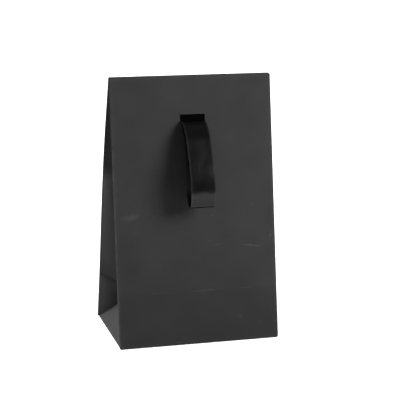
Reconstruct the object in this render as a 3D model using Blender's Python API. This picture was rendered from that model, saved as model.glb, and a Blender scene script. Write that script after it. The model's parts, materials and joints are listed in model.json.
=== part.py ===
"""A small gusseted paper gift bag with two satin ribbon handles, standing with its mouth pinched shut.

Every panel between two creases is its own thin plate, and the creases are the hinges: the front and back
swing about the bottom creases, and each side gusset folds inwards along five creases as the mouth closes.
Metres, +Z up, front towards -Y, origin on the ground under the middle of the bottom.
"""

import math

import bmesh
import bpy
from mathutils import Matrix, Vector

# Driving dimensions
WIDTH = 0.100
DEPTH = 0.065
HEIGHT = 0.162  # along the sloping front, from bottom crease to top edge
PAPER = 0.0003
CARD = 0.0005
RIBBON = 0.0003
RIBBON_WIDTH = 0.015
GAP = 0.0003  # between pieces that move past each other
CENTRE_GAP = 0.0008  # between the two halves of a gusset, pressed together at the mouth
GLUE = 0.00015  # between layers that are glued together
TRIM = 0.00035  # how far a folding plate stops short of its crease

# Slot that the ribbon comes out of, and the turned-in hem round the mouth
SLOT_WIDTH = 0.0154
SLOT_HEIGHT = 0.005
SLOT_FROM_TOP = 0.0255  # to the slot's middle
HEM_HEIGHT = 0.035
HEM_SIDE_MARGIN = 0.0025

# Bottom: two long flaps glued over two side tucks, and a loose board inside
FLAP_REACH = 0.041
FLAP_MARGIN = 0.0016
TUCK_REACH = 0.027
TUCK_TAPER = 0.009
TUCK_MARGIN = 0.0021
BOARD_MARGIN = 0.003
BOARD = 0.0008

# Seam flap and ribbon anchor
SEAM_WIDTH = 0.012
SEAM_BOTTOM = 0.005
PATCH_WIDTH = 0.026
PATCH_HEIGHT = 0.022
PATCH_BELOW_SLOT = 0.004
TAIL_LENGTH = 0.020  # above the slot's lower edge
TAIL_SPACE = 0.0002  # between the two ribbon layers
PIVOT_OUT = 0.0030  # where the loop starts to swing, in front of the panel's middle
PIVOT_DROP = 0.0002  # and below the slot's lower edge

# Middle planes of the layers, counted inwards from the middle of a panel
HEM_IN = PAPER + GLUE
LEAF_IN = HEM_IN + PAPER + GAP
CROWN_Y = (CENTRE_GAP + PAPER) / 2  # middle of each half of a gusset, off the centre plane

# Folds at rest. The panels lean until the gusset halves between them are pressed flat at the top.
PANEL_FOOT_Y = (DEPTH - PAPER) / 2
HINGE_Z = PAPER / 2
LEAN = math.asin((PANEL_FOOT_Y - CROWN_Y) / math.hypot(HEIGHT, LEAF_IN)) - math.atan2(LEAF_IN, HEIGHT)
HALF_GUSSET = HEIGHT * math.sin(LEAN)
FOLD = math.acos((1 - math.sin(LEAN)) / math.cos(LEAN))  # of a foot and of a side leaf, off upright
CROWN_FOLD = math.acos(math.sin(FOLD) * math.cos(LEAN))  # brings a crown leaf into the centre plane
LEAF_X = WIDTH / 2 - 0.0004  # vertical crease of a gusset
FOOT_Z = HINGE_Z - LEAF_IN * math.sin(LEAN)

SLOT_S = HEIGHT - SLOT_FROM_TOP
SLOT_FOOT_S = SLOT_S - SLOT_HEIGHT / 2

# The hanging loop seen from the side: distance in front of the panel, and height above the slot's lower edge
LOOP_POINTS = (
    (0.0034, -0.0001),
    (0.0066, -0.0023),
    (0.0112, -0.0080),
    (0.0142, -0.0165),
    (0.0174, -0.0260),
    (0.0188, -0.0320),
    (0.0194, -0.0365),
    (0.0194, -0.0410),
    (0.0188, -0.0450),
    (0.0175, -0.0484),
    (0.0155, -0.0503),
    (0.0131, -0.0500),
    (0.0110, -0.0474),
    (0.0088, -0.0440),
    (0.0066, -0.0385),
    (0.0062, -0.0290),
    (0.0070, -0.0190),
    (0.0064, -0.0105),
    (0.0046, -0.0045),
    (0.0030, -0.0012),
)
LOOP_STEPS = 5


def clear_scene():
    for obj in list(bpy.data.objects):
        bpy.data.objects.remove(obj)


def material(name, color, roughness):
    made = bpy.data.materials.new(name)
    made.use_nodes = True
    shader = made.node_tree.nodes["Principled BSDF"]
    shader.inputs["Base Color"].default_value = (*color, 1)
    shader.inputs["Roughness"].default_value = roughness
    shader.inputs["Metallic"].default_value = 0
    made.diffuse_color = (*color, 1)
    return made


def empty(name, place, parent=None):
    """An axis or a frame: place is its matrix in its parent's space."""
    made = bpy.data.objects.new(name, None)
    made.empty_display_size = 0.01
    bpy.context.scene.collection.objects.link(made)
    made.parent = parent
    made.matrix_local = place
    return made


def piece(name, mesh, look, parent):
    mesh.materials.append(look)
    made = bpy.data.objects.new(name, mesh)
    bpy.context.scene.collection.objects.link(made)
    made.parent = parent
    return made


def prism(name, outline, along, look, parent):
    """A flat outline pushed through by the vector along, as a closed solid."""
    made = bmesh.new()
    face = made.faces.new([made.verts.new(p) for p in outline])
    pushed = bmesh.ops.extrude_face_region(made, geom=[face])["geom"]
    bmesh.ops.translate(made, vec=along, verts=[v for v in pushed if isinstance(v, bmesh.types.BMVert)])
    bmesh.ops.recalc_face_normals(made, faces=made.faces)
    mesh = bpy.data.meshes.new(name)
    made.to_mesh(mesh)
    made.free()
    return piece(name, mesh, look, parent)


def upright_plate(name, corners, middle_y, thickness, look, parent):
    """A plate parallel to a panel. corners are (x, s), with s up the panel."""
    outline = [Vector((x, middle_y - thickness / 2, s)) for x, s in corners]
    return prism(name, outline, Vector((0, thickness, 0)), look, parent)


def stepped_plate(name, half_x, low_y, step_y, high_y, rise, look):
    """A level plate on the ground whose far part steps up by rise, over the flap that it laps."""
    under = [(low_y, 0), (step_y - 2 * rise, 0), (step_y - rise, rise), (high_y, rise)]
    over = [(y, z + PAPER) for y, z in reversed(under)]
    outline = [Vector((-half_x, y, z)) for y, z in under + over]
    return prism(name, outline, Vector((2 * half_x, 0, 0)), look, None)


def level_plate(name, corners, low_z, thickness, look, parent):
    outline = [Vector((x, y, low_z)) for x, y in corners]
    return prism(name, outline, Vector((0, 0, thickness)), look, parent)


def leaf_plate(name, corners, look, parent):
    """A gusset plate in the plane x = 0 of its crease's frame, trimmed back from the creases round it."""
    outline = [Vector((-PAPER / 2, y, z)) for y, z in trimmed(corners, TRIM)]
    return prism(name, outline, Vector((PAPER, 0, 0)), look, parent)


def rectangle(low_x, high_x, low_s, high_s):
    return [(low_x, low_s), (high_x, low_s), (high_x, high_s), (low_x, high_s)]


def trimmed(corners, by):
    """A convex outline with every side moved inwards by the same distance."""
    points = [Vector(c) for c in corners]
    middle = sum(points, Vector((0, 0))) / len(points)
    sides = []
    for start, end in zip(points, points[1:] + points[:1]):
        direction = (end - start).normalized()
        normal = Vector((-direction.y, direction.x))
        if normal.dot(middle - start) < 0:
            normal = -normal
        sides.append((start + normal * by, direction))
    return [crossing(sides[i - 1], sides[i]) for i in range(len(sides))]


def crossing(first, second):
    """Where two lines meet, each given as (point, direction)."""
    (p, d), (q, e) = first, second
    along = (q - p).cross(e) / d.cross(e)
    return p + d * along


def smooth_line(points, steps):
    """A Catmull-Rom curve through the points, as a list of points."""
    knots = [Vector(p) for p in points]
    knots = [2 * knots[0] - knots[1], *knots, 2 * knots[-1] - knots[-2]]
    line = []
    for a, b, c, d in zip(knots, knots[1:], knots[2:], knots[3:]):
        for i in range(steps):
            t = i / steps
            line.append(
                0.5 * (2 * b + (c - a) * t + (2 * a - 5 * b + 4 * c - d) * t**2 + (3 * b - a - 3 * c + d) * t**3)
            )
    return [*line, knots[-2]]


def strip(name, line, look, parent):
    """A ribbon: a line of (outwards, up) points given the ribbon's thickness and width."""
    sides = []
    for i, point in enumerate(line):
        before = line[max(i - 1, 0)]
        after = line[min(i + 1, len(line) - 1)]
        direction = (after - before).normalized()
        across = Vector((-direction.y, direction.x)) * RIBBON / 2
        sides.append((point + across, point - across))
    outline = [side[0] for side in sides] + [side[1] for side in reversed(sides)]
    corners = [Vector((-RIBBON_WIDTH / 2, -out, up)) for out, up in outline]
    made = bmesh.new()
    near = [made.verts.new(p) for p in corners]
    far = [made.verts.new(p + Vector((RIBBON_WIDTH, 0, 0))) for p in corners]
    last = len(corners) - 1
    for i in range(len(corners)):
        after = (i + 1) % len(corners)
        made.faces.new((near[i], near[after], far[after], far[i]))
    for i in range(len(line) - 1):
        made.faces.new((near[i], near[last - i], near[last - i - 1], near[i + 1]))
        made.faces.new((far[i], far[i + 1], far[last - i - 1], far[last - i]))
    bmesh.ops.recalc_face_normals(made, faces=made.faces)
    mesh = bpy.data.meshes.new(name)
    made.to_mesh(mesh)
    made.free()
    mesh.shade_smooth()
    mesh.set_sharp_from_angle(angle=math.radians(30))
    return piece(name, mesh, look, parent)


def cut_slot(obj):
    """Cuts the ribbon's slot through a panel or a hem, from front to back."""
    reach = Vector((SLOT_WIDTH / 2, 4 * PAPER, SLOT_HEIGHT / 2))
    outline = [Vector((x, -reach.y, SLOT_S + z)) for x, z in rectangle(-reach.x, reach.x, -reach.z, reach.z)]
    cutter = prism(obj.name + "_cutter", outline, Vector((0, 2 * reach.y, 0)), obj.data.materials[0], obj.parent)
    cutter.hide_render = True
    cutter.display_type = "WIRE"
    cut = obj.modifiers.new("slot", "BOOLEAN")
    cut.operation = "DIFFERENCE"
    cut.object = cutter


def bottom(paper, card):
    half_x = WIDTH / 2 - FLAP_MARGIN
    half_y = PANEL_FOOT_Y - PAPER / 2 - TRIM
    back_flap = rectangle(-half_x, half_x, half_y - FLAP_REACH, half_y)
    layer = PAPER + GLUE
    level_plate("bottom_back_flap", back_flap, 0, PAPER, paper, None)
    lap_y = half_y - FLAP_REACH
    stepped_plate("bottom_front_flap", half_x, -half_y, lap_y, FLAP_REACH - half_y, layer, paper)
    for name, side in (("left", -1), ("right", 1)):
        outer = side * (WIDTH / 2 - TUCK_MARGIN)
        inner = outer - side * TUCK_REACH
        wide = half_y - 0.002
        narrow = wide - TUCK_TAPER
        corners = [(outer, -wide), (outer, wide), (inner, narrow), (inner, -narrow)]
        level_plate(f"bottom_{name}_tuck", corners, 2 * layer, PAPER, paper, None)
    board_x = WIDTH / 2 - BOARD_MARGIN
    board_y = DEPTH / 2 - BOARD_MARGIN
    board = rectangle(-board_x, board_x, -board_y, board_y)
    level_plate("base_board", board, 3 * layer + GAP, BOARD, card, None)


def panel_frame(name, turn):
    """The frame of a panel on its bottom crease: x across, z up the panel and -y outwards."""
    place = Matrix.Rotation(turn, 4, "Z")
    place @= Matrix.Translation((0, -PANEL_FOOT_Y, HINGE_Z))
    place @= Matrix.Rotation(-LEAN, 4, "X")
    return empty(f"{name}_fold", place)


def panel(name, frame, paper, card):
    half = WIDTH / 2
    sheet = upright_plate(f"{name}_panel", rectangle(-half, half, TRIM, HEIGHT), 0, PAPER, paper, frame)
    hem_half = half - HEM_SIDE_MARGIN
    hem_corners = rectangle(-hem_half, hem_half, HEIGHT - HEM_HEIGHT, HEIGHT)
    hem = upright_plate(f"{name}_hem", hem_corners, HEM_IN, PAPER, paper, frame)
    for obj in (sheet, hem):
        cut_slot(obj)
    patch_y = HEM_IN + PAPER / 2 + 3 * GLUE + 2 * RIBBON + CARD / 2
    patch_low = SLOT_FOOT_S - PATCH_BELOW_SLOT
    patch_corners = rectangle(-PATCH_WIDTH / 2, PATCH_WIDTH / 2, patch_low, patch_low + PATCH_HEIGHT)
    upright_plate(f"{name}_anchor_patch", patch_corners, patch_y, CARD, card, frame)


def ribbon(name, frame, satin):
    """Two tails, glued inside the panel above its slot and brought out over its lower edge, and their loop."""
    inside = HEM_IN + PAPER / 2 + GLUE
    tip = PIVOT_OUT - 2 * RIBBON
    for label, above, out in (("lower", 0, 1), ("upper", 1, 0)):
        wall = inside + RIBBON / 2 + out * (RIBBON + GLUE)
        shelf = SLOT_FOOT_S + GAP + RIBBON / 2 + above * (RIBBON + TAIL_SPACE)
        line = [
            Vector((-wall, SLOT_FOOT_S + TAIL_LENGTH)),
            Vector((-wall, shelf)),
            Vector((PAPER / 2, shelf)),
            Vector((tip, shelf - 0.0005)),
        ]
        strip(f"{name}_ribbon_{label}_tail", line, satin, frame)
    pivot = Vector((0, -PIVOT_OUT, SLOT_FOOT_S - PIVOT_DROP))
    swing = empty(f"{name}_ribbon_swing", Matrix.Translation(pivot), frame)
    line = [point + Vector((-PIVOT_OUT, PIVOT_DROP)) for point in smooth_line(LOOP_POINTS, LOOP_STEPS)]
    strip(f"{name}_ribbon_loop", line, satin, swing)


def gusset_half(name, side, frame, paper):
    """A side leaf on the panel's vertical crease, and the crown leaf that folds flat against its twin."""
    k = HALF_GUSSET
    crease = Matrix.Translation((side * LEAF_X, LEAF_IN, 0)) @ Matrix.Rotation(side * FOLD, 4, "Z")
    leaf = empty(f"{name}_leaf_fold", crease, frame)
    leaf_plate(f"{name}_leaf", [(0, 0), (k, k), (0, HEIGHT)], paper, leaf)
    apex = Vector((0, k, k))
    along = (Vector((0, 0, HEIGHT)) - apex).normalized()
    across = Vector((0, along.z, -along.y))
    axes = Matrix((Vector((1, 0, 0)), across, along)).transposed().to_4x4()
    place = Matrix.Translation(apex) @ axes @ Matrix.Rotation(side * CROWN_FOLD, 4, "Z")
    crown = empty(f"{name}_crown_fold", place, leaf)
    flat = [Vector((0, k, k)), Vector((0, k, HEIGHT)), Vector((0, 0, HEIGHT))]
    corners = [((p - apex).dot(across), (p - apex).dot(along)) for p in flat]
    leaf_plate(f"{name}_crown", corners, paper, crown)


def gusset_foot(name, side, paper):
    k = HALF_GUSSET
    place = Matrix.Translation((side * LEAF_X, 0, FOOT_Z)) @ Matrix.Rotation(-side * FOLD, 4, "Y")
    foot = empty(f"{name}_foot_fold", place)
    leaf_plate(f"{name}_gusset_foot", [(-k, 0), (k, 0), (0, k)], paper, foot)


def seam_flap(frame, side, paper):
    outer = side * (WIDTH / 2 - HEM_SIDE_MARGIN)
    inner = outer - side * SEAM_WIDTH
    top = HEIGHT - HEM_HEIGHT - 0.001
    corners = [(outer, SEAM_BOTTOM), (outer, top), (inner, top - 0.004), (inner, SEAM_BOTTOM + 0.004)]
    upright_plate("seam_flap", corners, HEM_IN, PAPER, paper, frame)


def build():
    clear_scene()
    paper = material("bag_paper", (0.047, 0.047, 0.048), 0.75)
    satin = material("ribbon_satin", (0.012, 0.012, 0.013), 0.35)
    card = material("board_card", (0.060, 0.060, 0.060), 0.85)
    bottom(paper, card)
    front = panel_frame("front", 0)
    back = panel_frame("back", math.pi)
    for name, frame in (("front", front), ("back", back)):
        panel(name, frame, paper, card)
        ribbon(name, frame, satin)
    # The back frame is turned half round, so its own left is the bag's right.
    gusset_half("left_front", -1, front, paper)
    gusset_half("right_front", 1, front, paper)
    gusset_half("right_back", -1, back, paper)
    gusset_half("left_back", 1, back, paper)
    gusset_foot("left", -1, paper)
    gusset_foot("right", 1, paper)
    seam_flap(back, 1, paper)


build()
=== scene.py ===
"""The looks of the gusseted paper gift bag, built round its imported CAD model.

The bag's skin is made of creased paper shells that meet in rounded folds: a front and a back, each with
its turned-in top, four side leaves, four crown leaves at the pinched mouth and two foot triangles. A satin
ribbon comes out of each slot and hangs in a loop. Everything is in metres, in the CAD's frame.
"""

import json
import math

import bpy
from mathutils import Matrix, Vector, noise


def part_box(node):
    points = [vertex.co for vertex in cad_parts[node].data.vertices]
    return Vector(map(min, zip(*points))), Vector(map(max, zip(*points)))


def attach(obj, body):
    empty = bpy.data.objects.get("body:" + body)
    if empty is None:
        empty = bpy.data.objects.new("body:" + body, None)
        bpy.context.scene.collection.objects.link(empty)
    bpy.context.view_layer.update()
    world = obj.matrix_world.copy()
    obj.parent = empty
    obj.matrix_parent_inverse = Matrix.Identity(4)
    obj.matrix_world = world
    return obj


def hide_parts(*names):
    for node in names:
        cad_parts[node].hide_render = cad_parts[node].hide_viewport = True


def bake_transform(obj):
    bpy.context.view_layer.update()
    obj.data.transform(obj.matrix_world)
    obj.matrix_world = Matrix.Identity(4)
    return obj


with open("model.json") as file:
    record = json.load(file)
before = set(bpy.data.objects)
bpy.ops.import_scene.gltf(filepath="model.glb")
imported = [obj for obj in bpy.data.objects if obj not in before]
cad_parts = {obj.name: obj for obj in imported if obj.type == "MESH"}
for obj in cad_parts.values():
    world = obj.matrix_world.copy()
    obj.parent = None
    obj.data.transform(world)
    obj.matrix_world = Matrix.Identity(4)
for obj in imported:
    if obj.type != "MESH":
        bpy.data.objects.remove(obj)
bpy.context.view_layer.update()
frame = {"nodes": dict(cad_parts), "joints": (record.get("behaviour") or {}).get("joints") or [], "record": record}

JOINTS = {joint["name"]: joint for joint in frame["joints"]}

# Sizes that the CAD also uses
PAPER = 0.0003
HEM_IN = 0.00045  # from the middle of a panel to the middle of its turned-in top
HEM_HEIGHT = 0.035
HEM_SIDE_MARGIN = 0.0025
SLOT_WIDTH = 0.0154
SLOT_HEIGHT = 0.005
PIVOT_DROP = 0.0002  # of the ribbon's pivot below the slot's lower edge
RIBBON_WIDTH = 0.015
TAIL_LENGTH = 0.020  # above the slot's lower edge

# How far the paper stands out of its flat planes
BACK_BULGE = 0.0036  # the side creases of the back
FACE_SWELL = 0.00045
PACKING_BEND = 0.0008  # of a face, at its packing crease
LEAF_SWELL = 0.0018
LEAF_PRESS = 0.0005  # inwards, near the mouth
PUCKER = 0.0011
PUCKER_WIDTH = 0.018
FRONT_CALM = 0.35  # how much of a leaf's bow a front leaf shows
FOOT_SWELL = 0.0005

# Heights up a panel
PACKING_CREASE = 0.0325
BEND_TOP = 0.095  # where the bend over the packing crease has faded out
PRESSED = (0.092, 0.104)  # from here to here a leaf goes over from swelling to pressed in

# Folds
FOLD_RADIUS = 0.0005
BOTTOM_RADIUS = 0.0004
FOOT_RADIUS = 0.0003
CREASE_OVERLAP = 0.005  # of a gusset's front half, past its centre crease
CREASE_GAP = 0.00006  # between that half and the turned edge of the back half

# Ribbon
RIBBON = 0.00026  # a little thinner than the CAD's, so that its two layers never touch

# The hanging loop seen from the side: distance in front of the panel, height above the slot's lower edge
LOOP_MIDDLE = (0.0125, -0.0300)  # a point inside the loop
LOOP_POINTS = (
    (0.0034, -0.0001),
    (0.0066, -0.0023),
    (0.0112, -0.0080),
    (0.0142, -0.0165),
    (0.0174, -0.0260),
    (0.0188, -0.0320),
    (0.0194, -0.0365),
    (0.0194, -0.0410),
    (0.0188, -0.0450),
    (0.0175, -0.0484),
    (0.0155, -0.0503),
    (0.0131, -0.0500),
    (0.0110, -0.0474),
    (0.0088, -0.0440),
    (0.0066, -0.0385),
    (0.0062, -0.0290),
    (0.0070, -0.0190),
    (0.0064, -0.0105),
    (0.0046, -0.0045),
    (0.0030, -0.0012),
)

# Colours
BLACK = (0.0135, 0.0135, 0.0137)
WORN = (0.040, 0.040, 0.0405)
DARK_CARD = (0.035, 0.034, 0.033)
SATIN = (0.0012, 0.0012, 0.0013)
SATIN_EDGE_HIGHLIGHT = (0.011, 0.011, 0.0113)
SATIN_REVERSE = (0.0030, 0.0030, 0.0031)
SATIN_REVERSE_EDGE_HIGHLIGHT = (0.015, 0.015, 0.015)
RIBBON_TAIL_SHADE = (0.0004, 0.0004, 0.0004)
# Painted shade on the front, darker towards its foot
LOWER_SHADE = 0.13  # how much darker the front is at its foot

# Camera, fitted to the photo's outline of the bag. Angles are in degrees.
CAMERA_AZIMUTH = -15.68
CAMERA_ELEVATION = 14.65
CAMERA_ROLL = 0.89
CAMERA_AIM_RIGHT = 0.479
CAMERA_AIM_UP = 0.119
CAMERA_DISTANCE = 0.8724
CAMERA_TARGET = (0, 0, 0.080)
CAMERA_LENS = 127.9

# Studio
ROOM = 0.20  # how bright the room round the studio is
FLOOR_TONE = 0.45
FLOOR_GLOW = 0.86
FLOOR_REACH = 6
# Each light: its name, its place, what it points at, its size and its power
LIGHTS = (
    ("key", (0.62, -0.62, 0.53), (0, 0, 0.10), (0.45, 0.45), 20),
    ("fill", (-1.2, -0.10, 0.60), (0, 0, 0.07), (0.8, 0.8), 2),
    ("rim", (-0.70, 0.90, 0.90), (0, 0, 0.05), (0.6, 0.6), 34),
    ("backdrop", (0, 1.6, 0.75), (0, 0, 0.40), (4.0, 1.5), 45),
)


# ---------------------------------------------------------------- frames of the folded plates


def place(name):
    """A point on a joint's axis."""
    return Vector(JOINTS[name]["pos_m"])


def upward(name):
    """A crease's direction, pointing up."""
    axis = Vector(JOINTS[name]["axis"]).normalized()
    return axis if axis.z > 0 else -axis


def panel_matrix(name):
    """From a panel's own frame to the bag's: x across it, y inwards, z up it, from its bottom crease."""
    across = Vector(JOINTS[f"{name}_panel_fold"]["axis"]).normalized()
    up = upward(f"left_{name}_leaf_fold")
    inward = up.cross(across)
    turned = Matrix((across, inward, up)).transposed().to_4x4()
    return Matrix.Translation(place(f"{name}_panel_fold")) @ turned


def panel_height(name):
    """How high a panel is, measured up its slope."""
    to_bag = panel_matrix(name)
    up = to_bag.to_3x3().col[2]
    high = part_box(f"{name}_panel")[1]
    lean = math.sqrt(1 - up.z**2)
    return (high.z - to_bag.translation.z - lean * PAPER / 2) / up.z


PANELS = {name: panel_matrix(name) for name in ("front", "back")}
HEIGHT = panel_height("front")
HALF_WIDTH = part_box("front_panel")[1].x
LEAN = math.acos(PANELS["front"].to_3x3().col[2].z)
SLOT_FOOT = (PANELS["front"].inverted() @ place("front_ribbon_swing")).z + PIVOT_DROP
FACE_EDGE = HALF_WIDTH - PAPER / 2 - FOLD_RADIUS  # where a face starts to turn into its side leaves
HEM_EDGE = HALF_WIDTH - HEM_SIDE_MARGIN


class Gusset:
    """One half of a side gusset, in the frame of its panel.

    side is -1 on the panel's own left, and 1 on its right.
    """

    def __init__(self, name, panel, side):
        to_panel = PANELS[panel].inverted()
        self.name = name
        self.panel = panel
        self.side = side
        self.crease = to_panel @ place(f"{name}_leaf_fold")
        self.apex = to_panel @ place(f"{name}_crown_fold")
        self.half = self.apex.z - self.crease.z  # the gusset's half depth
        across = Vector((self.apex.x - self.crease.x, self.apex.y - self.crease.y, 0))
        self.inward = across.normalized()
        top = Vector((self.crease.x, self.crease.y, HEIGHT))
        self.ridge = (top - self.apex).normalized()
        centre_normal = to_panel.to_3x3() @ Vector((0, 1, 0))
        self.over = self.ridge.cross(centre_normal).normalized()
        if self.over.x * side > 0:
            self.over = -self.over


GUSSETS = [
    Gusset("left_front", "front", -1),
    Gusset("right_front", "front", 1),
    Gusset("right_back", "back", -1),
    Gusset("left_back", "back", 1),
]


# ---------------------------------------------------------------- shells from grids of points


def smoothstep(low, high, value):
    t = min(max((value - low) / (high - low), 0), 1)
    return t * t * (3 - 2 * t)


def spread(low, high, steps):
    return [low + (high - low) * i / steps for i in range(steps + 1)]


def shell(name, grid, thickness, uv, wear, keep=None, shade=None):
    """A sheet of paper or ribbon from a grid of mid-surface points, in the bag's frame.

    uv holds each point's place on the flat sheet, in metres. wear holds how worn each point is (on a ribbon, its
    painted edge highlight), and shade its painted shade, from 0 to 1. keep(row, column) says which cells are
    there.
    """
    rows, columns = len(grid), len(grid[0])
    index = {}
    points, flat, worn, darkened = [], [], [], []
    faces = []
    for r in range(rows - 1):
        for c in range(columns - 1):
            if keep and not keep(r, c):
                continue
            corners = []
            for key in ((r, c), (r, c + 1), (r + 1, c + 1), (r + 1, c)):
                if key not in index:
                    index[key] = len(points)
                    points.append(grid[key[0]][key[1]])
                    flat.append(uv[key[0]][key[1]])
                    worn.append(wear[key[0]][key[1]])
                    darkened.append(shade[key[0]][key[1]] if shade else 0)
                corners.append(index[key])
            faces.append(corners)
    mesh = bpy.data.meshes.new(name)
    mesh.from_pydata(points, [], faces)
    layer = mesh.uv_layers.new(name="Flat")
    for loop in mesh.loops:
        layer.data[loop.index].uv = flat[loop.vertex_index]
    for label, values in (("wear", worn), ("shade", darkened)):
        attribute = mesh.attributes.new(label, "FLOAT", "POINT")
        attribute.data.foreach_set("value", values)
    obj = bpy.data.objects.new(name, mesh)
    bpy.context.scene.collection.objects.link(obj)
    thick = obj.modifiers.new("thickness", "SOLIDIFY")
    thick.thickness = thickness
    thick.offset = 0
    thick.use_even_offset = True
    apply_modifiers(obj)
    obj.data.shade_smooth()
    obj.data.set_sharp_from_angle(angle=math.radians(40))
    return obj


def apply_modifiers(obj):
    graph = bpy.context.evaluated_depsgraph_get()
    finished = bpy.data.meshes.new_from_object(obj.evaluated_get(graph))
    finished.name = obj.name
    obj.modifiers.clear()
    obj.data = finished


def fillet(before, corner, after, radius, steps):
    """Points of an arc of that radius, from the line before-corner to the line corner-after."""
    back = (before - corner).normalized()
    ahead = (after - corner).normalized()
    half = back.angle(ahead) / 2
    reach = radius / math.tan(half)
    centre = corner + (back + ahead).normalized() * radius / math.sin(half)
    start = corner + back * reach - centre
    end = corner + ahead * reach - centre
    total = start.angle(end)
    arc = []
    for t in spread(0, 1, steps):
        mixed = start * math.sin((1 - t) * total) + end * math.sin(t * total)
        arc.append(centre + mixed / math.sin(total))
    return arc


def finish_piece(obj, look, nodes):
    """Gives a piece its look, and hides the CAD nodes that it stands for."""
    obj.data.materials.clear()
    obj.data.materials.append(look)
    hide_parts(*nodes)


# ---------------------------------------------------------------- materials


class Nodes:
    """Builds a node tree with short calls."""

    def __init__(self, name, color, roughness, specular=0.5):
        self.material = bpy.data.materials.new(name)
        self.material.use_nodes = True
        self.tree = self.material.node_tree
        self.shader = self.tree.nodes["Principled BSDF"]
        self.shader.inputs["Base Color"].default_value = (*color, 1)
        self.shader.inputs["Roughness"].default_value = roughness
        self.shader.inputs["Specular IOR Level"].default_value = specular

    def add(self, kind, **settings):
        node = self.tree.nodes.new(kind)
        for key, value in settings.items():
            if key in node.inputs:
                node.inputs[key].default_value = value
            else:
                setattr(node, key, value)
        return node

    def link(self, source, target):
        self.tree.links.new(source, target)

    def flat_place(self, scale=(1, 1, 1)):
        """The place on the flat sheet, in metres times scale."""
        uv = self.add("ShaderNodeUVMap", uv_map="Flat")
        mapping = self.add("ShaderNodeMapping", Scale=scale)
        self.link(uv.outputs["UV"], mapping.inputs["Vector"])
        return mapping.outputs["Vector"]

    def solid_place(self):
        return self.add("ShaderNodeTexCoord").outputs["Object"]

    def noise(self, vector, scale, detail=4.0, roughness=0.5):
        node = self.add("ShaderNodeTexNoise", Scale=scale, Detail=detail, Roughness=roughness)
        self.link(vector, node.inputs["Vector"])
        return node.outputs["Fac"]

    def ramp(self, value, low, high, out_low=0.0, out_high=1.0):
        node = self.add("ShaderNodeMapRange")
        node.inputs["From Min"].default_value = low
        node.inputs["From Max"].default_value = high
        node.inputs["To Min"].default_value = out_low
        node.inputs["To Max"].default_value = out_high
        self.link(value, node.inputs["Value"])
        return node.outputs["Result"]

    def math(self, operation, first, second):
        node = self.add("ShaderNodeMath", operation=operation)
        for socket, value in zip(node.inputs, (first, second)):
            if isinstance(value, (int, float)):
                socket.default_value = value
            else:
                self.link(value, socket)
        return node.outputs["Value"]

    def mix(self, factor, first, second):
        node = self.add("ShaderNodeMix", data_type="RGBA")
        for number, value in ((0, factor), (6, first), (7, second)):
            socket = node.inputs[number]
            if isinstance(value, tuple):
                socket.default_value = (*value, 1)
            else:
                self.link(value, socket)
        return node.outputs[2]

    def vary(self, factor, color, darkest, palest):
        """The colour times darkest to palest, as the factor goes from 0 to 1."""
        return self.mix(factor, tuple(darkest * c for c in color), tuple(palest * c for c in color))

    def bump(self, height, strength, distance):
        node = self.add("ShaderNodeBump", Strength=strength, Distance=distance)
        self.link(height, node.inputs["Height"])
        self.link(node.outputs["Normal"], self.shader.inputs["Normal"])


# Rubbed places on the front: across the panel, up it, half length, half width, angle in degrees, strength
FRONT_MARKS = (
    (-0.0405, 0.0790, 0.0070, 0.0022, 8, 0.36),
    (0.0345, 0.0582, 0.0085, 0.0005, -9, 0.65),
    (0.0468, 0.0633, 0.0046, 0.0008, 82, 0.35),
    (0.0050, 0.0327, 0.0130, 0.0003, 1, 0.50),
    (-0.0230, 0.0326, 0.0110, 0.0003, 0, 0.25),
    (0.0300, 0.0324, 0.0070, 0.0003, 0, 0.30),
    (-0.0120, 0.0790, 0.0030, 0.0006, -35, 0.25),
    (0.0130, 0.0600, 0.0050, 0.0005, 12, 0.22),
)


def mark(nodes, flat, across, up, half_length, half_width, angle, strength):
    """One rubbed place, fading out from its middle."""
    centred = nodes.add("ShaderNodeVectorMath", operation="SUBTRACT")
    nodes.link(flat, centred.inputs[0])
    centred.inputs[1].default_value = (across, up, 0)
    turned = nodes.add("ShaderNodeVectorRotate", rotation_type="Z_AXIS", Angle=-math.radians(angle))
    nodes.link(centred.outputs["Vector"], turned.inputs["Vector"])
    scaled = nodes.add("ShaderNodeVectorMath", operation="MULTIPLY")
    nodes.link(turned.outputs["Vector"], scaled.inputs[0])
    scaled.inputs[1].default_value = (1 / half_length, 1 / half_width, 0)
    length = nodes.add("ShaderNodeVectorMath", operation="LENGTH")
    nodes.link(scaled.outputs["Vector"], length.inputs[0])
    return nodes.ramp(length.outputs["Value"], 0.35, 1.0, strength, 0.0)


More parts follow.
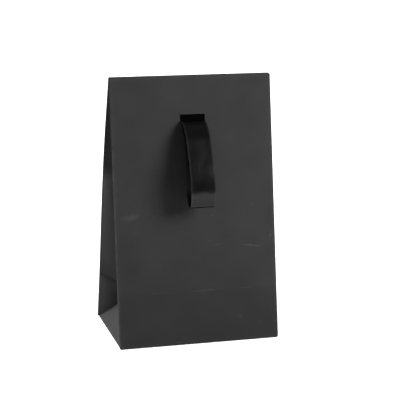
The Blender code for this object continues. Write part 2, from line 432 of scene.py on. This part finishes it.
def paper_material(name, color, worn_color, marks=(), lower_shade=0.0):
    """Matte black paper on a sheet with flat coordinates, rubbed paler at its folds and at each mark, and darkened
    with painted shade where its shade attribute says so and, on the front, under its packing crease.
    """
    nodes = Nodes(name, color, 0.75, 0.12)
    flat = nodes.flat_place()
    fibres = nodes.noise(nodes.flat_place((1, 0.35, 1)), 2600, 6)
    clouds = nodes.noise(flat, 45, 3)
    cells = nodes.add("ShaderNodeTexVoronoi", Scale=75.0)
    nodes.link(flat, cells.inputs["Vector"])
    kept = nodes.add("ShaderNodeSeparateColor")
    nodes.link(cells.outputs["Color"], kept.inputs["Color"])
    specks = nodes.math(
        "MULTIPLY",
        nodes.ramp(cells.outputs["Distance"], 0.030, 0.062, 1.0, 0.0),
        nodes.ramp(kept.outputs["Red"], 0.55, 0.75),
    )
    scuffs = nodes.ramp(nodes.noise(nodes.flat_place((1, 7, 1)), 62, 5, 0.62), 0.66, 0.80)
    base = nodes.vary(nodes.ramp(clouds, 0.3, 0.7), color, 0.88, 1.12)
    if lower_shade:
        # Painted shade: darker under the packing crease, and fading out above it
        up = nodes.add("ShaderNodeSeparateXYZ")
        nodes.link(flat, up.inputs["Vector"])
        low, high = PACKING_CREASE - 0.0007, PACKING_CREASE + 0.0011
        step = nodes.ramp(up.outputs["Y"], low, high, 0.6 * lower_shade, 0.0)
        fade = nodes.ramp(up.outputs["Y"], 0.0, 0.075, 1.5 * lower_shade, 0.0)
        base = nodes.mix(nodes.math("ADD", step, fade), base, (0.0, 0.0, 0.0))
    base = nodes.mix(nodes.math("MULTIPLY", scuffs, 0.40), base, worn_color)
    base = nodes.mix(nodes.math("MULTIPLY", specks, 0.40), base, worn_color)
    grain = nodes.ramp(nodes.noise(flat, 520, 4), 0.3, 0.6, 0.35, 1.0)
    for details in marks:
        base = nodes.mix(nodes.math("MULTIPLY", mark(nodes, flat, *details), grain), base, worn_color)
    wear = nodes.add("ShaderNodeAttribute", attribute_name="wear").outputs["Fac"]
    patchy = nodes.ramp(nodes.noise(flat, 160, 4), 0.35, 0.6, 0.35, 1.0)
    base = nodes.mix(nodes.math("MULTIPLY", wear, patchy), base, worn_color)
    # Painted shade: darkened towards black as far as the shade attribute says
    darkened = nodes.add("ShaderNodeAttribute", attribute_name="shade").outputs["Fac"]
    base = nodes.mix(darkened, base, (0.0, 0.0, 0.0))
    nodes.link(base, nodes.shader.inputs["Base Color"])
    nodes.link(nodes.ramp(fibres, 0.3, 0.7, 0.70, 0.80), nodes.shader.inputs["Roughness"])
    nodes.bump(fibres, 0.25, 0.00006)
    return nodes.material


def card_material(name, color):
    nodes = Nodes(name, color, 0.85)
    solid = nodes.solid_place()
    pulp = nodes.noise(solid, 900, 6)
    base = nodes.vary(nodes.ramp(nodes.noise(solid, 140, 4), 0.3, 0.7), color, 0.8, 1.2)
    nodes.link(base, nodes.shader.inputs["Base Color"])
    nodes.link(nodes.ramp(pulp, 0.3, 0.7, 0.78, 0.92), nodes.shader.inputs["Roughness"])
    nodes.bump(pulp, 0.3, 0.0001)
    return nodes.material


def flap_material(name, color):
    """The bag's paper on flat CAD plates, which have no flat coordinates of their own."""
    nodes = Nodes(name, color, 0.75, 0.12)
    solid = nodes.solid_place()
    fibres = nodes.noise(solid, 2600, 6)
    base = nodes.vary(nodes.ramp(nodes.noise(solid, 45, 3), 0.3, 0.7), color, 0.9, 1.1)
    nodes.link(base, nodes.shader.inputs["Base Color"])
    nodes.link(nodes.ramp(fibres, 0.3, 0.7, 0.70, 0.80), nodes.shader.inputs["Roughness"])
    nodes.bump(fibres, 0.25, 0.00006)
    return nodes.material


def satin_material(name, color, edge_highlight_color, gloss=0.22, smooth=0.14, rough=0.20):
    """Woven satin: glossy on its right side, and duller where gloss is lower and the roughness higher. Its edges
    carry a painted highlight.
    """
    nodes = Nodes(name, color, rough, gloss)
    flat = nodes.flat_place()
    weave = nodes.add("ShaderNodeTexWave", Scale=700.0, Distortion=0.6, Detail=2.0)
    nodes.link(nodes.flat_place((0.3, 1, 1)), weave.inputs["Vector"])
    threads = nodes.noise(nodes.flat_place((6, 1, 1)), 900, 4)
    base = nodes.vary(nodes.ramp(nodes.noise(flat, 130, 3), 0.3, 0.7), color, 0.85, 1.2)
    wear = nodes.add("ShaderNodeAttribute", attribute_name="wear").outputs["Fac"]
    # Painted highlight along the ribbon's edges, which its wear attribute marks
    base = nodes.mix(nodes.math("MULTIPLY", wear, 0.8), base, edge_highlight_color)
    nodes.link(base, nodes.shader.inputs["Base Color"])
    nodes.link(nodes.ramp(threads, 0.3, 0.7, smooth, rough), nodes.shader.inputs["Roughness"])
    nodes.bump(weave.outputs["Fac"], 0.15, 0.00004)
    return nodes.material


def shaded_tail_material(name, color):
    """The glued ends of the ribbon inside the bag: painted shade, near black and without gloss, so that the slot
    shows dark.
    """
    nodes = Nodes(name, color, 0.95, 0.02)
    threads = nodes.noise(nodes.flat_place((6, 1, 1)), 900, 4)
    base = nodes.vary(nodes.ramp(threads, 0.3, 0.7), color, 0.7, 1.3)
    nodes.link(base, nodes.shader.inputs["Base Color"])
    nodes.link(nodes.ramp(threads, 0.3, 0.7, 0.90, 0.98), nodes.shader.inputs["Roughness"])
    nodes.bump(threads, 0.15, 0.00004)
    return nodes.material


# ---------------------------------------------------------------- the front and the back


def panel_profile():
    """Points (y, s) from the bottom lip up the panel and over its top to the hem's lower edge.

    Also the numbers of the first point on the face and of the first on the hem.
    """
    ground = Vector((math.cos(LEAN), math.sin(LEAN)))
    corner = Vector((0, 0))
    lip = fillet(ground * 0.01, corner, Vector((0, 0.01)), BOTTOM_RADIUS, 5)
    slot_top = SLOT_FOOT + SLOT_HEIGHT
    slot_middle = (SLOT_FOOT + slot_top) / 2
    rounding = HEM_IN / 2
    top = HEIGHT - rounding
    face = [0.004, *spread(0.010, 0.030, 5)]
    face += [PACKING_CREASE - 0.0009, PACKING_CREASE, PACKING_CREASE + 0.0009]
    face += [*spread(0.037, SLOT_FOOT - 0.006, 24), SLOT_FOOT - 0.002]
    face += [SLOT_FOOT, slot_middle, slot_top, slot_top + 0.002]
    face += [*spread(slot_top + 0.006, top - 0.002, 4), top]
    turn = [
        Vector((rounding - rounding * math.cos(a), top + rounding * math.sin(a)))
        for a in spread(math.pi / 6, math.pi * 5 / 6, 4)
    ]
    hem = [top, top - 0.004, slot_top + 0.006, slot_top + 0.002]
    hem += [slot_top, slot_middle, SLOT_FOOT, HEIGHT - HEM_HEIGHT]
    line = lip + [Vector((0, s)) for s in face] + turn + [Vector((HEM_IN, s)) for s in hem]
    hem_start = len(lip) + len(face) + len(turn)
    return line, len(lip), hem_start


def panel_columns():
    """Places across a panel, with lines along the sides of its slot and its hem."""
    half_slot = SLOT_WIDTH / 2
    right = [half_slot, half_slot + 0.002, *spread(half_slot + 0.006, HEM_EDGE - 0.003, 9)]
    right += [HEM_EDGE, FACE_EDGE]
    return [-x for x in reversed(right)] + spread(-half_slot, half_slot, 6)[1:-1] + right


def bulge(name, s):
    """How far a panel stands out at that height, because the pinched mouth presses the back out."""
    if name != "back" or not 0 < s < HEIGHT:
        return 0
    return BACK_BULGE * math.sin(math.pi * (s / HEIGHT) ** 1.5) ** 1.3


def panel_bow(x, s):
    """How far a panel's paper stands out from flat: a shallow swell, and a bend at its packing crease."""
    sides = max(0, 1 - (x / FACE_EDGE) ** 2)
    ends = smoothstep(0, 0.03, s) * smoothstep(0, 0.03, HEIGHT - s)
    swell = FACE_SWELL * sides * ends * (1 + 0.6 * noise.noise(Vector((x * 30, s * 22, 3.1))))
    from_slot = math.hypot(max(abs(x) - SLOT_WIDTH / 2, 0), s - SLOT_FOOT - SLOT_HEIGHT / 2)
    above_crease = max(0, (BEND_TOP - s) / (BEND_TOP - PACKING_CREASE))
    bend = PACKING_BEND * min(s / PACKING_CREASE, above_crease) * min(1, (FACE_EDGE - abs(x)) / 0.012)
    return swell * smoothstep(0.004, 0.014, from_slot) + max(bend, 0)


def panel_piece(name, look):
    """A face and its turned-in top, in one shell, with the slot through both layers."""
    line, first_face, first_hem = panel_profile()
    columns = panel_columns()
    to_bag = PANELS[name]
    grid, uv, wear = [], [], []
    along = 0
    for i, point in enumerate(line):
        if i:
            along += (point - line[i - 1]).length
        on_face = first_face <= i < first_hem
        row, flat_row, worn_row = [], [], []
        for x in columns:
            bow = bulge(name, point.y) + (panel_bow(x, point.y) if on_face else 0)
            row.append(to_bag @ Vector((x, point.x - bow, point.y)))
            flat_row.append((x, along))
            side_wear = 0.20 * smoothstep(FACE_EDGE - 0.0004, FACE_EDGE, abs(x))
            top_wear = 0.20 * smoothstep(HEIGHT - 0.0009, HEIGHT, point.y)
            bottom_wear = 0.15 * (1 - smoothstep(0.0, 0.0012, point.y))
            worn_row.append(max(side_wear, top_wear, bottom_wear))
        grid.append(row)
        uv.append(flat_row)
        wear.append(worn_row)
    slot_low, slot_high = SLOT_FOOT - 1e-5, SLOT_FOOT + SLOT_HEIGHT + 1e-5

    # The slot goes through face and hem, and the hem and the last of the turn over the top are narrower.
    def keep(r, c):
        middle_x = (columns[c] + columns[c + 1]) / 2
        low, high = sorted((line[r].y, line[r + 1].y))
        in_slot = abs(middle_x) < SLOT_WIDTH / 2 and low > slot_low and high < slot_high
        past_hem = r >= first_hem - 3 and abs(middle_x) > HEM_EDGE
        return not in_slot and not past_hem

    piece = shell(f"{name}_paper_face", grid, PAPER, uv, wear, keep)
    finish_piece(piece, look, [f"{name}_panel", f"{name}_hem"])
    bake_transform(piece)


# ---------------------------------------------------------------- the side gussets


def leaf_bow(gusset, u, s):
    """The curve of a side leaf between its creases, towards the outside of the bag.

    It swells over its middle, is pressed in towards the mouth, and puckers below its packing crease.
    """
    widest = min(gusset.half, gusset.half * (HEIGHT - s) / (HEIGHT - gusset.half), s)
    if not 0 < u < widest:
        return 0
    pressed = smoothstep(*PRESSED, s)
    ends = smoothstep(0.030, 0.050, s) * (1 - smoothstep(0.125, 0.150, s))
    depth = LEAF_SWELL * (1 - pressed) - LEAF_PRESS * pressed
    swell = math.sin(math.pi * u / widest) * ends * depth
    pucker_width = min(PUCKER_WIDTH, widest)
    below = smoothstep(0.004, 0.014, s) * (1 - smoothstep(gusset.half - 0.002, gusset.half, s))
    pucker = PUCKER * below * math.sin(math.pi * u / pucker_width) if u < pucker_width else 0
    return (swell + pucker) * (1 if gusset.panel == "back" else FRONT_CALM)


def leaf_painted_shade(gusset, u, s):
    """Painted shade on a leaf, from 0 to 1: a dark line along its packing crease, a shaded pocket over the foot
    and deep shade at the mouth.
    """
    crease = 1 - smoothstep(0.0001, 0.0009, abs(s - gusset.half))
    over_foot = smoothstep(0.004, 0.016, s) * (1 - smoothstep(0.020, 0.031, s))
    pocket = smoothstep(0.006, 0.014, u) * over_foot
    mouth = smoothstep(0.094, 0.106, s)
    return max(0.45 * crease, 0.50 * pocket, 0.85 * mouth)


def leaf_lines(gusset):
    """Two lists of points (x, y) in the panel's frame: round the side crease, and on across the leaf."""
    crease, inward = gusset.crease.xy, gusset.inward.xy
    corner = crease - inward * (crease.y / inward.y)
    on_face = Vector((gusset.side * (HALF_WIDTH - 0.004), 0))
    fold = fillet(on_face, corner, crease + inward * 0.01, FOLD_RADIUS, 8)
    face_edge = Vector((gusset.side * FACE_EDGE, 0))
    if (face_edge - fold[0]).length > 5e-5:
        fold.insert(0, face_edge)
    return fold, [crease + inward * u for u in spread(0.0004, gusset.half - 0.0003, 16)]


def leaf_piece(gusset, look):
    """A side leaf, from the edge of its face round the side crease to where its foot and crown begin."""
    strip, leaf = leaf_lines(gusset)
    line = strip + leaf
    crease, inward, side = gusset.crease.xy, gusset.inward.xy, gusset.side
    outward = Vector((inward.y, -inward.x, 0)) * side
    to_bag = PANELS[gusset.panel]
    # Each row: whether it is above the packing crease, and how far up that part
    levels = [(False, t) for t in (*spread(0, 1, 14)[:-1], 0.985)]
    levels += [(True, t) for t in (0, 0.003, *spread(0, 1, 48)[1:])]
    grid, uv, wear, shade = [], [], [], []
    distance = [0]
    for a, b in zip(line, line[1:]):
        distance.append(distance[-1] + (b - a).length)
    for above, fraction in levels:
        row, flat_row, worn_row, dark_row = [], [], [], []
        for c, point in enumerate(line):
            u = (point - crease).dot(inward) if c >= len(strip) else 0
            low = max(u, 0.0005) + 0.00004  # just over the diagonal crease beside the foot
            high = HEIGHT - max(u, 0) * (HEIGHT - gusset.half) / gusset.half
            first, last = (gusset.half, high) if above else (low, gusset.half)
            s = first + (last - first) * fraction
            stand_out = bulge(gusset.panel, s) * (1 - max(u, 0) / gusset.half)
            at = Vector((point.x, point.y - stand_out, s)) + outward * leaf_bow(gusset, u, s)
            row.append(to_bag @ at)
            flat_row.append((side * (HALF_WIDTH + distance[c]), s))
            fold = 1 - smoothstep(0.0003, 0.0011, abs(distance[c] - distance[len(strip) // 2]))
            ridge = 1 - smoothstep(0, 0.0007, abs(high - s) * inward.y)
            rubbed = 0.45 + 0.45 * (1 - smoothstep(0.105, 0.135, s))
            worn_row.append(max(rubbed * fold, 0.20 * ridge))
            # Painted shade along the packing crease, in the pocket over the foot and at the mouth
            dark_row.append(leaf_painted_shade(gusset, u, s) if u > 0 else 0)
        grid.append(row)
        uv.append(flat_row)
        wear.append(worn_row)
        shade.append(dark_row)
    piece = shell(f"{gusset.name}_paper_leaf", grid, PAPER, uv, wear, shade=shade)
    finish_piece(piece, look, [f"{gusset.name}_leaf"])
    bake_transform(piece)


def crown_profile(gusset):
    """Points across a crown: how far along the sheet from the side crease, and how far to the other half.

    The back's edge turns over the centre crease almost to the front's half, and the front's runs on behind
    it, so that no daylight shows between them.
    """
    half = gusset.half
    flat = [(u, 0) for u in spread(0.0006, half, 14)]
    if gusset.panel == "front":
        return flat + [(half + reach, 0) for reach in spread(0, CREASE_OVERLAP, 3)[1:]]
    between_halves = 2 * abs((PANELS[gusset.panel] @ gusset.apex).y)
    turn = [
        (half + FOLD_RADIUS * math.sin(a), FOLD_RADIUS * (1 - math.cos(a)))
        for a in spread(math.pi / 10, math.pi / 2, 4)
    ]
    return flat + turn + [(half + FOLD_RADIUS, between_halves - PAPER / 2 - CREASE_GAP)]


def crown_piece(gusset, look):
    """A crown leaf, the triangle of a gusset half that is pressed flat at the pinched mouth."""
    half = gusset.half
    reach = math.hypot(half, HEIGHT - half)
    along_flat = Vector((-half, HEIGHT - half)) / reach
    over_flat = Vector((HEIGHT - half, half)) / reach
    to_bag = PANELS[gusset.panel]
    to_centre = gusset.ridge.cross(gusset.over).normalized()
    if to_centre.y < 0:
        to_centre = -to_centre
    rows = 24
    grid, uv, wear = [], [], []
    for r in range(rows + 1):
        row, flat_row, worn_row = [], [], []
        for u, turned in crown_profile(gusset):
            low = max(HEIGHT - u * (HEIGHT - half) / half, half)  # on the diagonal crease
            s = low + (HEIGHT - low) * r / rows
            flat = Vector((u - half, s - half))
            point = gusset.apex + gusset.ridge * flat.dot(along_flat)
            point += gusset.over * flat.dot(over_flat) + to_centre * turned
            point.y -= bulge(gusset.panel, low) * max(1 - u / half, 0) * (1 - r / rows)
            row.append(to_bag @ point)
            flat_row.append((gusset.side * (HALF_WIDTH + u), s))
            worn = max(smoothstep(half - 0.0009, half, u), smoothstep(HEIGHT - 0.0008, HEIGHT, s))
            worn_row.append(0.3 * worn)
        grid.append(row)
        uv.append(flat_row)
        wear.append(worn_row)
    piece = shell(f"{gusset.name}_paper_crown", grid, PAPER, uv, wear)
    finish_piece(piece, look, [f"{gusset.name}_crown"])
    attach(piece, f"{gusset.name}_crown")


def foot_piece(name, side, look):
    """A gusset's foot: a fold along the ground, then rows that narrow to the triangle's top corner."""
    half = next(gusset.half for gusset in GUSSETS if gusset.name == f"{name}_front")
    hinge = place(f"{name}_foot_fold")
    apex = place(f"{name}_front_crown_fold")
    apex.y = 0
    up = (apex - hinge).normalized()
    corner = hinge + up * ((PAPER / 2 - hinge.z) / up.z)
    flat = fillet(corner - Vector((side * 0.01, 0, 0)), corner, corner + up * 0.01, FOOT_RADIUS, 5)
    outward = Vector((side * up.z, 0, abs(up.x)))
    columns = spread(-half + 0.0016, half - 0.0016, 36)
    rows = 14
    first_rise = (flat[-1] - hinge).dot(up)
    grid, uv, wear = [], [], []
    for r in range(len(flat) + rows):
        row, flat_row, worn_row = [], [], []
        for y in columns:
            high = half - abs(y)
            fraction, rise, point = 0, 0, flat[min(r, len(flat) - 1)]
            if r >= len(flat):
                fraction = (r - len(flat) + 1) / rows
                rise = first_rise + (high - first_rise) * fraction
                point = hinge + up * rise
            bow = FOOT_SWELL * math.sin(math.pi * fraction) * (1 - (y / half) ** 2)
            row.append(point + Vector((0, y, 0)) + outward * bow)
            flat_row.append((y, -rise))
            edge = 1 - smoothstep(0, 0.0010, (high - rise) * 0.7)
            base = 1 - smoothstep(0, 0.0009, rise)
            worn_row.append(0.5 * max(edge, base))
        grid.append(row)
        uv.append(flat_row)
        wear.append(worn_row)
    piece = shell(f"{name}_paper_foot", grid, PAPER, uv, wear)
    finish_piece(piece, look, [f"{name}_gusset_foot"])
    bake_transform(piece)


# ---------------------------------------------------------------- the ribbons


def smooth_line(points, steps):
    """A Catmull-Rom curve through the points, as a list of points."""
    knots = [Vector(p) for p in points]
    knots = [2 * knots[0] - knots[1], *knots, 2 * knots[-1] - knots[-2]]
    line = []
    for a, b, c, d in zip(knots, knots[1:], knots[2:], knots[3:]):
        for i in range(steps):
            t = i / steps
            straight = 2 * b + (c - a) * t
            square = (2 * a - 5 * b + 4 * c - d) * t**2
            cube = (3 * b - a - 3 * c + d) * t**3
            line.append(0.5 * (straight + square + cube))
    return [*line, knots[-2]]


def ribbon_path():
    """The ribbon seen from the side, as LOOP_POINTS is, from its upper tail round the loop to the lower."""
    near = -(HEM_IN + PAPER / 2 + 0.00030)  # of the upper tail, glued to the hem
    far = near - 0.00045  # of the lower tail, glued over the upper one
    upper = [
        (near, TAIL_LENGTH),
        (near, 0.014),
        (near, 0.008),
        (near, 0.0030),
        (near + 0.00006, 0.0014),
        (near + 0.00045, 0.00100),
        (0.0000, 0.00095),
        (0.0018, 0.00065),
    ]
    lower = [
        (0.0016, 0.00000),
        (0.0000, 0.00042),
        (near, 0.00046),
        (far + 0.00030, 0.00060),
        (far, 0.0012),
        (far, 0.0030),
        (far, 0.008),
        (far, 0.014),
        (far, TAIL_LENGTH),
    ]
    return smooth_line([*upper, *LOOP_POINTS, *lower], 5)


def ribbon_piece(name, look, reverse_look, shaded_tail_look):
    """One ribbon, from end to end, with its glossy right side, its duller reverse and its glued ends, which are
    painted near black as shade.
    """
    path = ribbon_path()
    to_bag = PANELS[name]
    columns = spread(-1, 1, 12)
    grid, uv, wear = [], [], []
    length = 0
    for i, point in enumerate(path):
        if i:
            length += (point - path[i - 1]).length
        before, after = path[max(i - 1, 0)], path[min(i + 1, len(path) - 1)]
        tangent = (after - before).normalized()
        normal = Vector((-tangent.y, tangent.x))
        free = smoothstep(0.004, 0.016, point.x)
        row, flat_row, worn_row = [], [], []
        for t in columns:
            curl = -0.00003 * free * (t * t - 0.4)
            ripple = 0.00012 * free * noise.noise(Vector((t * 1.3, length * 140, 7.7)))
            at = point + normal * (curl + ripple)
            stand_out = bulge(name, SLOT_FOOT + (at.y if at.x < 0 else 0))
            x = t * RIBBON_WIDTH / 2
            row.append(to_bag @ Vector((x, -at.x - stand_out, SLOT_FOOT + at.y)))
            flat_row.append((x, length))
            # The wear attribute marks both edges for their painted highlight
            worn_row.append(smoothstep(0.90, 0.98, abs(t)))
        grid.append(row)
        uv.append(flat_row)
        wear.append(worn_row)
    piece = shell(f"{name}_satin_ribbon", grid, RIBBON, uv, wear)
    nodes = [f"{name}_ribbon_loop", f"{name}_ribbon_upper_tail", f"{name}_ribbon_lower_tail"]
    finish_piece(piece, look, nodes)
    piece.data.materials.append(reverse_look)
    piece.data.materials.append(shaded_tail_look)
    to_panel = to_bag.inverted()
    hollow = Vector((0, -LOOP_MIDDLE[0] - bulge(name, SLOT_FOOT), SLOT_FOOT + LOOP_MIDDLE[1]))
    for face in piece.data.polygons:
        middle = to_panel @ face.center
        # The ends inside the bag get the near-black painted shade
        if middle.y > PAPER - bulge(name, middle.z):
            face.material_index = 2
        elif (to_panel.to_3x3() @ face.normal).dot(hollow - middle) > 0:
            face.material_index = 1
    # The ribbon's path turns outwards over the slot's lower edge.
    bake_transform(piece)


# ---------------------------------------------------------------- the studio


def aim(obj, direction, up):
    """Points an object's -Z along direction, with its +Y near up."""
    back = -direction.normalized()
    right = up.cross(back).normalized()
    turned = Matrix((right, back.cross(right), back)).transposed().to_4x4()
    obj.matrix_world = Matrix.Translation(obj.location) @ turned


def add_camera():
    azimuth, elevation = math.radians(CAMERA_AZIMUTH), math.radians(CAMERA_ELEVATION)
    roll = math.radians(CAMERA_ROLL)
    aim_right, aim_up = math.radians(CAMERA_AIM_RIGHT), math.radians(CAMERA_AIM_UP)
    back = Vector((
        math.sin(azimuth) * math.cos(elevation),
        -math.cos(azimuth) * math.cos(elevation),
        math.sin(elevation),
    ))
    right = Vector((0, 0, 1)).cross(back).normalized()
    up = back.cross(right)
    rolled_right = right * math.cos(roll) + up * math.sin(roll)
    rolled_up = up * math.cos(roll) - right * math.sin(roll)
    data = bpy.data.cameras.new("camera")
    data.sensor_width = 36
    data.lens = CAMERA_LENS
    camera = bpy.data.objects.new("camera", data)
    camera.location = Vector(CAMERA_TARGET) + back * CAMERA_DISTANCE
    bpy.context.scene.collection.objects.link(camera)
    aside = rolled_right * math.tan(aim_right) + rolled_up * math.tan(aim_up)
    aim(camera, aside - back, rolled_up)
    bpy.context.scene.camera = camera


def add_light(name, position, target, size, power):
    data = bpy.data.lights.new(name, "AREA")
    data.shape = "RECTANGLE"
    data.size, data.size_y = size
    data.energy = power
    light = bpy.data.objects.new(name, data)
    light.location = position
    bpy.context.scene.collection.objects.link(light)
    aim(light, Vector(target) - Vector(position), Vector((0, 0, 1)))


def sweep_material():
    nodes = Nodes("pale_sweep", (FLOOR_TONE,) * 3, 0.9)
    cloudy = nodes.ramp(nodes.noise(nodes.solid_place(), 3, 2), 0.3, 0.7)
    base = nodes.mix(cloudy, (FLOOR_TONE - 0.01,) * 3, (FLOOR_TONE + 0.01,) * 3)
    nodes.link(base, nodes.shader.inputs["Base Color"])
    nodes.shader.inputs["Emission Color"].default_value = (1, 1, 1, 1)
    nodes.shader.inputs["Emission Strength"].default_value = FLOOR_GLOW
    return nodes.material


def add_world():
    """A dim white room, seen as plain white where it is the background."""
    world = bpy.data.worlds.new("studio")
    world.use_nodes = True
    tree = world.node_tree
    seen = tree.nodes.new("ShaderNodeLightPath").outputs["Is Camera Ray"]
    strength = tree.nodes.new("ShaderNodeMapRange")
    strength.inputs["To Min"].default_value = ROOM
    strength.inputs["To Max"].default_value = 1.0
    tree.links.new(seen, strength.inputs["Value"])
    tree.links.new(strength.outputs["Result"], tree.nodes["Background"].inputs["Strength"])
    tree.nodes["Background"].inputs["Color"].default_value = (1, 1, 1, 1)
    bpy.context.scene.world = world


def add_studio():
    floor = bpy.data.meshes.new("floor")
    corners = [(-1, -1, 0), (1, -1, 0), (1, 1, 0), (-1, 1, 0)]
    floor.from_pydata([Vector(corner) * FLOOR_REACH for corner in corners], [], [(0, 1, 2, 3)])
    stage = bpy.data.objects.new("floor", floor)
    bpy.context.scene.collection.objects.link(stage)
    floor.materials.append(sweep_material())
    add_world()
    for light in LIGHTS:
        add_light(*light)


def main():
    front_paper = paper_material("matte_black_paper_front", BLACK, WORN, FRONT_MARKS, LOWER_SHADE)
    paper = paper_material("matte_black_paper", BLACK, WORN)
    flaps = flap_material("matte_black_flap", BLACK)
    satin = satin_material("black_satin", SATIN, SATIN_EDGE_HIGHLIGHT)
    reverse = satin_material(
        "black_satin_reverse", SATIN_REVERSE, SATIN_REVERSE_EDGE_HIGHLIGHT, gloss=0.12, smooth=0.38, rough=0.50
    )
    tail = shaded_tail_material("ribbon_tail_painted_shade", RIBBON_TAIL_SHADE)
    card = card_material("dark_card", DARK_CARD)
    for name, look in (("front", front_paper), ("back", paper)):
        panel_piece(name, look)
        ribbon_piece(name, satin, reverse, tail)
    for gusset in GUSSETS:
        leaf_piece(gusset, paper)
        crown_piece(gusset, paper)
    foot_piece("left", -1, paper)
    foot_piece("right", 1, paper)
    finishes = {"bag_paper": flaps, "board_card": card}
    slots = {part["node"]: part["material_slot"] for part in frame["record"]["subparts"]}
    for node, obj in frame["nodes"].items():
        if slots[node] in finishes:
            obj.data.materials.clear()
            obj.data.materials.append(finishes[slots[node]])
    add_camera()
    add_studio()
    bpy.context.scene.view_settings.view_transform = "Standard"


main()
